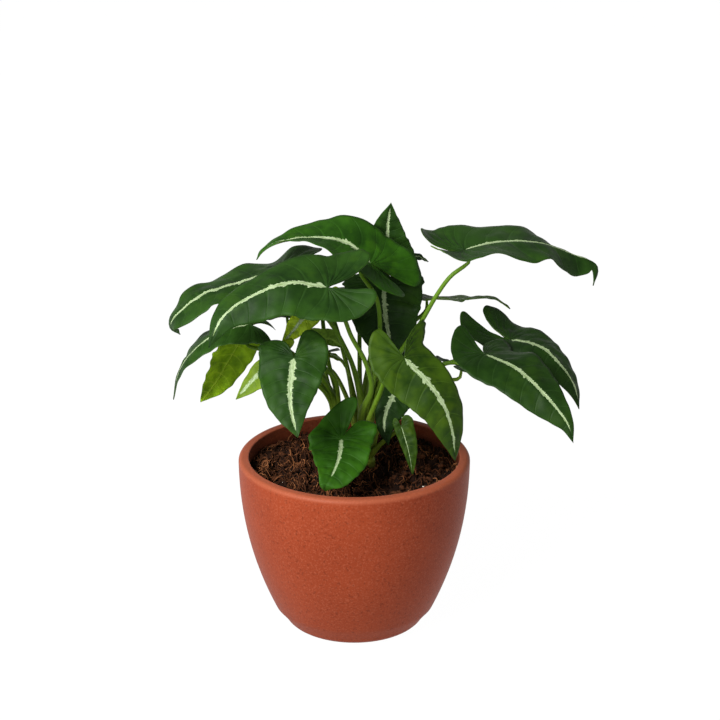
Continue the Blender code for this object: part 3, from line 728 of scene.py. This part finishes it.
def gather(parts):
    """the vertices and faces of several skins as one"""
    vertices, faces, start = [], [], 0
    for points, skin in parts:
        vertices.append(points)
        faces += [[start + corner for corner in face] for face in skin]
        start += len(points)
    return np.vstack(vertices), faces


# Pot

def wall_radius(z):
    return POT_RADIUS * (1 - POT_TAPER * ((POT_HEIGHT - z) / POT_HEIGHT) ** TAPER_POWER)


def inner_radius(z):
    """the pot's inside runs parallel to its outside, a wall's thickness in"""
    return wall_radius(z) - (POT_RADIUS - INNER_RADIUS)


def arc(centre, radius, start, end):
    """points of a quarter turn or less, in the profile's plane, from start to end degrees"""
    angles = np.radians(np.linspace(start, end, ARC_STEPS))
    return [(centre[0] + radius * math.cos(a), centre[1] + radius * math.sin(a)) for a in angles]


def inner_floor():
    """radius of the pot's flat floor inside, within its slanted corner"""
    return inner_radius(FLOOR_THICKNESS + CORNER_HEIGHT) - CORNER_WIDTH


def pot():
    """the turned pot, with a clay outside and a darker, damp inside"""
    outside = [(0, 0), (BASE_RADIUS * BASE_RING, 0)]
    outside += arc((BASE_RADIUS, BASE_ROUND), BASE_ROUND, *BASE_ARC)
    heights = np.linspace(1.5 * BASE_ROUND, POT_HEIGHT - RIM_BEVEL, WALL_STEPS)
    outside += [(wall_radius(z), z) for z in heights]
    outside += arc((POT_RADIUS - RIM_BEVEL, POT_HEIGHT - RIM_BEVEL), RIM_BEVEL, *RIM_ARC)
    outside += arc((INNER_RADIUS + INNER_BEVEL, POT_HEIGHT - INNER_BEVEL), INNER_BEVEL, *INNER_ARC)
    dry = np.linspace(POT_HEIGHT - 2 * INNER_BEVEL, SOIL_EDGE, DRY_STEPS)
    damp = np.linspace(SOIL_EDGE - DAMP_DEPTH, FLOOR_THICKNESS + CORNER_HEIGHT, DAMP_STEPS)
    inside = [(inner_radius(z), z) for z in (*dry, *damp)]
    inside += [(inner_floor(), FLOOR_THICKNESS), (0, FLOOR_THICKNESS)]
    vertices, faces, kinds = revolve(outside + inside, POT_SIDES, len(outside))
    made = mesh_object("clay_pot", vertices, faces, [clay_outside(), clay_inside()], kinds)
    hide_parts("pot")


def revolve(profile, sides, change):
    """a profile of (radius, height) points turned about Z, with faces of kind 1 from change on"""
    vertices, rows, faces, kinds = [], [], [], []
    for radius, z in profile:
        if radius == 0:
            rows.append([len(vertices)] * sides)
            vertices.append((0, 0, z))
            continue
        rows.append([len(vertices) + k for k in range(sides)])
        for k in range(sides):
            angle = 2 * math.pi * k / sides
            vertices.append((radius * math.cos(angle), radius * math.sin(angle), z))
    for i in range(len(rows) - 1):
        for k in range(sides):
            n = (k + 1) % sides
            corners = (rows[i][k], rows[i][n], rows[i + 1][n], rows[i + 1][k])
            faces.append(list(dict.fromkeys(corners)))
            kinds.append(int(i + 1 >= change))
    return np.array(vertices), faces, kinds


# Soil

def soil_radius():
    return inner_radius(SOIL_EDGE) - WALL_CLEARANCE


def ground(x, y):
    """height of the soil's top at a place, in mm"""
    share = min(1.0, math.hypot(x, y) / soil_radius())
    mound = SOIL_EDGE + (SOIL_CENTRE - SOIL_EDGE) * (1 - share ** 2)
    lumps = noise.fractal((x / LUMP_SIZE, y / LUMP_SIZE, SOIL_SEED), *LUMP_DETAIL)
    return mound + LUMP_HEIGHT * lumps


def soil():
    """the coir bed, lumpy on top and closed below"""
    bottom = FLOOR_THICKNESS + FLOOR_CLEARANCE
    profile = [(0, bottom), (inner_floor() - FLOOR_CLEARANCE, bottom)]
    profile += [(inner_radius(z) - WALL_CLEARANCE, z) for z in BED_HEIGHTS]
    profile.append((soil_radius(), SOIL_EDGE - SHOULDER_DEPTH))
    profile += [(soil_radius() * (1 - i / SOIL_RINGS), SOIL_EDGE) for i in range(SOIL_RINGS)]
    profile.append((0, SOIL_EDGE))
    vertices, faces, _ = revolve(profile, SOIL_SIDES, len(profile))
    for vertex in vertices:
        if vertex[2] == SOIL_EDGE:
            vertex[2] = ground(vertex[0], vertex[1])
    made = mesh_object("coir_bed", vertices, faces, [coir_dark()])
    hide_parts("soil")


def soil_place(generator, left_share=0.0):
    """a random place on the soil, for that share of them moved to its left side"""
    radius = (soil_radius() - PLACE_CLEARANCE) * math.sqrt(generator.uniform(0, 1))
    angle = generator.uniform(0, 2 * math.pi)
    x, y = radius * math.cos(angle), radius * math.sin(angle)
    if generator.uniform(0, 1) < left_share:
        x = -abs(x)
    return x, y


def fibre(generator, length, radius, rise):
    """one curled coir fibre on the soil, thin at its ends and arched"""
    x, y = soil_place(generator, LEFT_SHARE)
    heading = generator.uniform(0, 2 * math.pi)
    curl = generator.normal(0, FIBRE_CURL)
    steps = max(FEWEST_STEPS, int(length / FIBRE_STEP))
    step = length / steps
    limit = soil_radius() - FIBRE_CLEARANCE
    points = []
    for i in range(steps + 1):
        reach = math.hypot(x, y)
        if reach > limit:
            x, y = x * limit / reach, y * limit / reach
        points.append((x, y, ground(x, y) + radius * FIBRE_LIFT + rise * math.sin(math.pi * i / steps)))
        heading += curl * step + generator.normal(0, FIBRE_WANDER)
        x += step * math.cos(heading)
        y += step * math.sin(heading)

    def radius_at(place, _):
        start, span = FIBRE_SPAN
        bulge = math.sin(math.pi * (start + span * place / steps))
        return radius * (FIBRE_TIP + (1 - FIBRE_TIP) * bulge)

    return joined_rings(tube_rings(np.array(points), radius_at, FIBRE_SIDES, FIBRE_ASIDE))


def fibres(name, material, count, lengths, radii, rise, seed):
    """many fibres as one piece, arched by up to rise"""
    generator = np.random.default_rng(seed)
    parts = []
    for _ in range(count):
        length = generator.uniform(*lengths)
        radius = generator.uniform(*radii)
        parts.append(fibre(generator, length, radius, rise * generator.uniform(0, 1) ** 2))
    vertices, faces = gather(parts)
    mesh_object(name, vertices, faces, [material])


def chips(name, material, count, sizes, flatness, seed):
    """irregular bits pressed into the soil, as one piece"""
    generator = np.random.default_rng(seed)
    ball = bmesh.new()
    bmesh.ops.create_icosphere(ball, subdivisions=2, radius=1.0)
    unit_points = np.array([v.co for v in ball.verts])
    unit_faces = [[v.index for v in face.verts] for face in ball.faces]
    ball.free()
    parts = []
    for _ in range(count):
        x, y = soil_place(generator)
        size = generator.uniform(*sizes)
        stretch = np.array([generator.uniform(*span) for span in (CHIP_LENGTH, CHIP_BREADTH, flatness)])
        lumps = 1 + CHIP_LUMPS * generator.uniform(-1, 1, (len(unit_points), 1))
        tilt = Matrix.Rotation(generator.uniform(-CHIP_TILT, CHIP_TILT), 3, "X")
        turn = Matrix.Rotation(generator.uniform(0, 2 * math.pi), 3, "Z")
        turned = np.array(turn @ tilt) @ (unit_points * lumps * stretch * size).T
        parts.append((turned.T + (x, y, ground(x, y) + CHIP_LIFT * size), unit_faces))
    vertices, faces = gather(parts)
    mesh_object(name, vertices, faces, [material])


# Objects

def add_object(name, data):
    made = bpy.data.objects.new(name, data)
    bpy.context.scene.collection.objects.link(made)
    return made


def mesh_object(name, vertices, faces, materials, kinds=None):
    """a smooth mesh object in metres from points in mm, that rides with the plant"""
    data = bpy.data.meshes.new(name)
    data.from_pydata((np.asarray(vertices, float) * MM).tolist(), [], faces)
    for material in materials:
        data.materials.append(material)
    if kinds is not None:
        data.polygons.foreach_set("material_index", kinds)
    work = bmesh.new()
    work.from_mesh(data)
    bmesh.ops.recalc_face_normals(work, faces=work.faces)
    work.to_mesh(data)
    work.free()
    data.shade_smooth()
    made = add_object(name, data)
    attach(made, BODY)
    return made


def add_map(made, name, places):
    """a map with a place for each corner of each face"""
    layer = made.data.uv_layers.new(name=name)
    layer.uv.foreach_set("vector", np.array(places, np.float32).ravel())


# Materials

class Nodes:
    """short names for making a material's nodes and joining them"""

    def __init__(self, name):
        self.material = bpy.data.materials.new(name)
        self.material.use_nodes = True
        self.tree = self.material.node_tree
        self.shader = self.tree.nodes["Principled BSDF"]

    def add(self, kind, **settings):
        node = self.tree.nodes.new("ShaderNode" + kind)
        for key, value in settings.items():
            setattr(node, key, value)
        return node

    def put(self, socket, value):
        if isinstance(value, bpy.types.NodeSocket):
            self.tree.links.new(value, socket)
        else:
            socket.default_value = value

    def fill(self, node, *values, **named):
        """values for a node's inputs, and its first output"""
        for socket, value in zip(node.inputs, values):
            self.put(socket, value)
        for name, value in named.items():
            self.put(node.inputs[name], value)
        return node.outputs[0]

    def place(self):
        return self.add("TexCoord").outputs["Object"]

    def parts(self, vector):
        """the three coordinates of a vector"""
        node = self.add("SeparateXYZ")
        self.fill(node, vector)
        return tuple(node.outputs)

    def map_parts(self, name):
        """the two coordinates of one of the mesh's own maps"""
        return self.parts(self.add("UVMap", uv_map=name).outputs[0])[:2]

    def maths(self, operation, *values):
        return self.fill(self.add("Math", operation=operation), *values)

    plus = partialmethod(maths, "ADD")
    minus = partialmethod(maths, "SUBTRACT")
    times = partialmethod(maths, "MULTIPLY")

    def rest(self, share):
        """what the share leaves of one"""
        return self.minus(1.0, share)

    def step(self, value, low, high):
        """0 below low, 1 above high and smooth between"""
        return self.fill(self.add("MapRange", interpolation_type="SMOOTHSTEP"), value, low, high)

    def layer(self, value, low, high, share):
        """0 below low, and the share above high"""
        return self.times(self.step(value, low, high), share)

    def noise(self, place, scale, detail, roughness):
        return self.fill(self.add("TexNoise"), Vector=place, Scale=scale, Detail=detail, Roughness=roughness)

    def noises(self, place, coarse, fine, share):
        """two noises as one, of which the coarse one has that share"""
        return self.plus(self.times(self.noise(place, *coarse), share),
                         self.times(self.noise(place, *fine), 1 - share))

    def stretched(self, parts, rates, detail, roughness):
        """a noise that changes at another rate along each part"""
        scaled = [self.times(part, rate) for part, rate in zip(parts, rates)]
        return self.noise(self.fill(self.add("CombineXYZ"), *scaled), 1.0, detail, roughness)

    def mix(self, share, one, two):
        """one colour where the share is 0, and the other where it is 1"""
        node = self.add("Mix", data_type="RGBA")
        for place, value in zip(MIX_INPUTS, (share, one, two)):
            self.put(node.inputs[place], (*value, 1) if isinstance(value, tuple) else value)
        return node.outputs[MIX_OUTPUT]

    def bump(self, height, strength, distance, before=None):
        """bumps of that distance in metres, over those that came before"""
        node = self.add("Bump")
        if before is not None:
            self.put(node.inputs["Normal"], before)
        return self.fill(node, Height=height, Strength=strength, Distance=distance)

    def finish(self, colour, roughness, specular, normal=None, sheen=None):
        self.put(self.shader.inputs["Base Color"], colour)
        self.put(self.shader.inputs["Roughness"], roughness)
        self.shader.inputs["Specular IOR Level"].default_value = specular
        if normal is not None:
            self.put(self.shader.inputs["Normal"], normal)
        if sheen is not None:
            weight, softness, tint = sheen
            self.shader.inputs["Sheen Weight"].default_value = weight
            self.shader.inputs["Sheen Roughness"].default_value = softness
            self.shader.inputs["Sheen Tint"].default_value = (*tint, 1)
        return self.material


def vein_distance(m, veins):
    """0 on a side vein and half way to the next one 0.5"""
    part = m.maths("FRACT", veins)
    return m.minus(0.5, m.maths("ABSOLUTE", m.minus(part, 0.5)))


def mottled(m, place, apart, t, dark, light):
    """green patches, lighter between the veins and at the margin, with yellower blotches"""
    patch = m.layer(m.noises(place, *MOTTLE), *PATCHES, PATCH_SHARE)
    share = m.plus(patch, m.plus(m.layer(apart, *RAISED), m.layer(t, *OUTER)))
    colour = m.mix(share, dark, light)
    blotch = m.layer(m.noise(place, *BLOTCH_NOISE), *BLOTCHES)
    return m.mix(blotch, colour, tuple(a * b for a, b in zip(BLOTCH_TINT, light)))


def vein_lines(m, place, beside, t):
    """how much of the side veins shows, as broken fine lines that end before the margin"""
    line = m.times(m.rest(m.step(beside, *VEIN_LINE)), m.rest(m.step(t, *VEIN_END)))
    return m.times(line, m.layer(m.noise(place, *VEIN_NOISE), *VEIN_BREAKS))


def striped(m, u, v, colour):
    """the pale stripe over the colour, with teeth that slant like the side veins"""
    number = m.maths("FLOOR", m.maths("DIVIDE", m.plus(u, 1.0), LEAF_SPACING))
    x = m.minus(u, m.times(number, LEAF_SPACING))
    y = m.maths("ABSOLUTE", v)
    side = m.maths("SIGN", v)
    slant = m.minus(u, m.times(y, STRIPE_SLANT))
    teeth = m.layer(m.stretched((slant, side), *TEETH_NOISE), *TEETH)
    spurs = m.layer(m.stretched((slant, side, 1.0), *SPUR_NOISE), *SPURS)
    spurs = m.times(spurs, m.rest(m.step(x, *SPUR_END)))
    taper = m.times(m.step(x, *STRIPE_START), m.rest(m.step(x, *STRIPE_END)))
    taper = m.times(m.rest(m.layer(x, *STRIPE_TAPER)), taper)
    reach = m.times(m.plus(m.plus(teeth, spurs), CORE_SHARE), m.times(taper, STRIPE_WIDTH))
    stripe = m.times(m.step(m.minus(reach, y), *STRIPE_EDGE), m.step(taper, *STRIPE_GONE))
    streak = m.step(m.stretched((slant, v), *STREAK_NOISE), *STREAKS)
    return m.mix(stripe, colour, m.mix(streak, *STRIPE_COLOURS))


@cache
def leaf_upper(tint):
    """velvety green, mottled, with fine side veins and a feathered pale stripe along the midrib"""
    dark, light = TINTS[tint]
    m = Nodes("leaf_upper_" + tint)
    u, v = m.map_parts("flat")
    veins, t = m.map_parts("veins")
    place = m.place()
    apart = vein_distance(m, veins)
    beside = m.times(apart, m.plus(t, VEIN_SPREAD))
    colour = mottled(m, place, apart, t, dark, light)
    pale = tuple(VEIN_PALER * c + VEIN_GREY for c in light)
    colour = striped(m, u, v, m.mix(vein_lines(m, place, beside, t), colour, pale))
    fine = m.noise(place, *BLADE_GRAIN)
    normal = m.bump(m.step(beside, *VEIN_DIP), *BUMPS["veins"], m.bump(fine, *BUMPS["blade"]))
    roughness = m.plus(m.times(fine, GRAIN_ROUGHNESS), BLADE_ROUGHNESS)
    return m.finish(colour, roughness, BLADE_SPECULAR, normal, BLADE_SHEEN)


@cache
def leaf_lower(kind):
    """paler matt green, with raised lighter veins"""
    dark, light, line_colour = UNDERSIDES[kind]
    m = Nodes("leaf_lower_" + kind)
    veins, t = m.map_parts("veins")
    _, v = m.map_parts("flat")
    beside = m.times(vein_distance(m, veins), m.plus(t, VEIN_SPREAD))
    mottle = m.noise(m.place(), *LOWER_MOTTLE)
    colour = m.mix(m.step(mottle, *SOFT), dark, light)
    line = m.times(m.rest(m.step(beside, *LOWER_LINE)), LOWER_SHARE)
    rib = m.times(m.rest(m.step(m.maths("ABSOLUTE", v), *RIB_LINE)), RIB_SHARE)
    colour = m.mix(rib, m.mix(line, colour, line_colour), line_colour)
    return m.finish(colour, *SURFACES["leaf_lower"], m.bump(mottle, *BUMPS["leaf_lower"]))


@cache
def leaf_margin(tint):
    """the thin edge, a little yellower than the blade, with painted light shining through it"""
    m = Nodes("leaf_margin_" + tint)
    speck = m.noise(m.place(), *MARGIN_NOISE)
    colour = m.mix(m.step(speck, *SOFT), TINTS[tint][1], MARGIN_YELLOW)
    return m.finish(colour, *SURFACES["leaf_margin"])


@cache
def petiole_green():
    """smooth green with fine streaks, paler towards the soil and brown at the foot"""
    m = Nodes("petiole_green")
    parts = m.parts(m.place())
    streaks = m.stretched(parts, *PETIOLE_NOISE)
    high = m.step(m.plus(parts[2], m.times(streaks, GREEN_WAVER)), *GREEN_HEIGHTS)
    colour = m.mix(high, PETIOLE_LOW, PETIOLE_HIGH)
    colour = m.mix(m.layer(streaks, *PETIOLE_STREAKS), colour, PETIOLE_DARK)
    young = m.step(m.plus(parts[2], m.times(streaks, OLD_WAVER)), *OLD_HEIGHTS)
    colour = m.mix(young, STEM_OLD, colour)
    return m.finish(colour, *SURFACES["petiole"], m.bump(streaks, *BUMPS["petiole"]))


def clay(name, dark, light, speck):
    """fired clay with a fine grain of lighter and darker specks: its nodes, place, colour and bumps"""
    m = Nodes(name)
    place = m.place()
    grain = m.noise(place, *CLAY_GRAIN)
    colour = m.mix(m.step(m.noise(place, *CLAY_CLOUDS), *SOFT), dark, light)
    colour = m.mix(m.layer(grain, *LIGHT_SPECKS), colour, speck)
    specks = m.layer(m.noise(place, *CLAY_SPECKS), *DARK_SPECKS)
    colour = m.mix(specks, colour, tuple(SPECK_DARKER * c for c in dark))
    return m, place, colour, m.bump(grain, *BUMPS["clay"])


def clay_outside():
    """the outer wall and the rim, whose edge is a little paler with wear and a painted highlight on its top
    and bevel
    """
    m, place, colour, normal = clay("clay_outside", *CLAY_OUTSIDE)
    colour = m.mix(m.layer(m.parts(place)[2], *WEAR_AND_HIGHLIGHT_HEIGHTS, WEAR_AND_HIGHLIGHT_SHARE), colour, CLAY_WEAR_AND_HIGHLIGHT)
    return m.finish(colour, *SURFACES["clay_outside"], normal)


def clay_inside():
    """the inner wall, darker with painted shade of the pot's hollow, and stained where the damp soil has
    stood
    """
    m, place, colour, normal = clay("clay_inside", *CLAY_INSIDE)
    line = m.plus(m.parts(place)[2], m.times(m.noise(place, *DAMP_NOISE), DAMP_WAVER))
    damp = m.rest(m.step(line, *DAMP_HEIGHTS))
    colour = m.mix(m.times(damp, DAMP_SHARE), colour, CLAY_DAMP)
    return m.finish(colour, *SURFACES["clay_inside"], normal)


def coir(name, dark, light, scale):
    """matted fibre or grit, dark and light in patches of that scale per metre"""
    m = Nodes(name)
    place = m.place()
    coarse, fine, knots = [(scale * finer, *detail) for finer, *detail in COIR_NOISES]
    colour = m.mix(m.step(m.noises(place, coarse, fine, COIR_SHARE), *PATCHES), dark, light)
    return m.finish(colour, *SURFACES["coir"], m.bump(m.noise(place, *knots), *BUMPS["coir"]))


def coir_dark():
    return coir("coir_dark", (0.0018, 0.0008, 0.0005), (0.0180, 0.0062, 0.0026), 160)


@cache
def coir_brown():
    return coir("coir_brown", (0.0050, 0.0020, 0.0010), (0.0680, 0.0220, 0.0075), 110)


def coir_pale():
    return coir("coir_pale", (0.045, 0.014, 0.004), (0.260, 0.100, 0.038), 80)


def grit_white():
    return coir("grit_white", (0.42, 0.36, 0.28), (0.75, 0.70, 0.60), 300)


# Stage

def key_lamp():
    """one soft round lamp at the left"""
    light = bpy.data.lights.new("key", "AREA")
    light.shape = "DISK"
    light.size = KEY_SIZE
    light.energy = KEY_POWER
    lamp = add_object("key", light)
    lamp.location = KEY_PLACE
    aim = Vector(PLANT_CENTRE) - Vector(KEY_PLACE)
    lamp.rotation_euler = aim.to_track_quat("-Z", "Y").to_euler()


def stage():
    """a plain white floor and the lamp"""
    half = FLOOR_SIZE / 2
    data = bpy.data.meshes.new("floor")
    corners = [(-half, -half), (half, -half), (half, half), (-half, half)]
    data.from_pydata([(x, y, -FLOOR_DROP) for x, y in corners], [], [(0, 1, 2, 3)])
    floor = add_object("floor", data)
    paint = Nodes("floor_pale")
    paint.shader.inputs["Emission Color"].default_value = (1, 1, 1, 1)
    paint.shader.inputs["Emission Strength"].default_value = FLOOR_GLOW
    data.materials.append(paint.finish((FLOOR_SHADE, FLOOR_SHADE, FLOOR_SHADE, 1), *SURFACES["floor"]))
    key_lamp()
    bpy.context.scene.view_settings.view_transform = "Standard"


def sky():
    """white at the horizon and dimmer higher up"""
    world = bpy.data.worlds.new("studio")
    world.use_nodes = True
    tree = world.node_tree
    background = tree.nodes["Background"]
    background.inputs["Color"].default_value = (1, 1, 1, 1)
    ahead = tree.nodes.new("ShaderNodeSeparateXYZ")
    tree.links.new(tree.nodes.new("ShaderNodeTexCoord").outputs["Generated"], ahead.inputs[0])
    fade = tree.nodes.new("ShaderNodeMapRange")
    fade.interpolation_type = "SMOOTHSTEP"
    tree.links.new(ahead.outputs["Z"], fade.inputs[0])
    for socket, value in zip(fade.inputs[1:5], (*HORIZON_FADE, HORIZON_STRENGTH, SKY_STRENGTH)):
        socket.default_value = value
    tree.links.new(fade.outputs[0], background.inputs["Strength"])
    bpy.context.scene.world = world


def camera():
    data = bpy.data.cameras.new("camera")
    data.lens = CAMERA_LENS
    data.sensor_width = SENSOR_WIDTH
    made = add_object("camera", data)
    made.location = CAMERA_PLACE
    made.rotation_euler = (math.radians(90 - CAMERA_DOWN), 0, math.radians(CAMERA_TURN))
    bpy.context.scene.camera = made


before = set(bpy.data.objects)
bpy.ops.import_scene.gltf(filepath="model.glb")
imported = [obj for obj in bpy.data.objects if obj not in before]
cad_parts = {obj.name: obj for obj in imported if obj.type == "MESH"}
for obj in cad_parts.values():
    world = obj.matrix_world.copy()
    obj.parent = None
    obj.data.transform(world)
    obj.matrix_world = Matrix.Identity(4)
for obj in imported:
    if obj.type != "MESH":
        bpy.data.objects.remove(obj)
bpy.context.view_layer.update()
pot()
soil()
fibres("coir_fibres", coir_brown(), count=950, lengths=(6, 20), radii=(0.28, 0.65), rise=4.5, seed=11)
fibres("coir_strands", coir_pale(), count=230, lengths=(9, 30), radii=(0.20, 0.44), rise=7.0, seed=12)
chips("coir_chips", coir_brown(), count=300, sizes=(1.0, 3.2), flatness=(0.35, 0.8), seed=13)
chips("soil_grit", grit_white(), count=40, sizes=(0.25, 0.6), flatness=(0.6, 1.0), seed=14)
for number, name in enumerate(LEAVES, 1):
    blade(name, number)
for name in STEMS:
    stem(name)
stage()
sky()
camera()
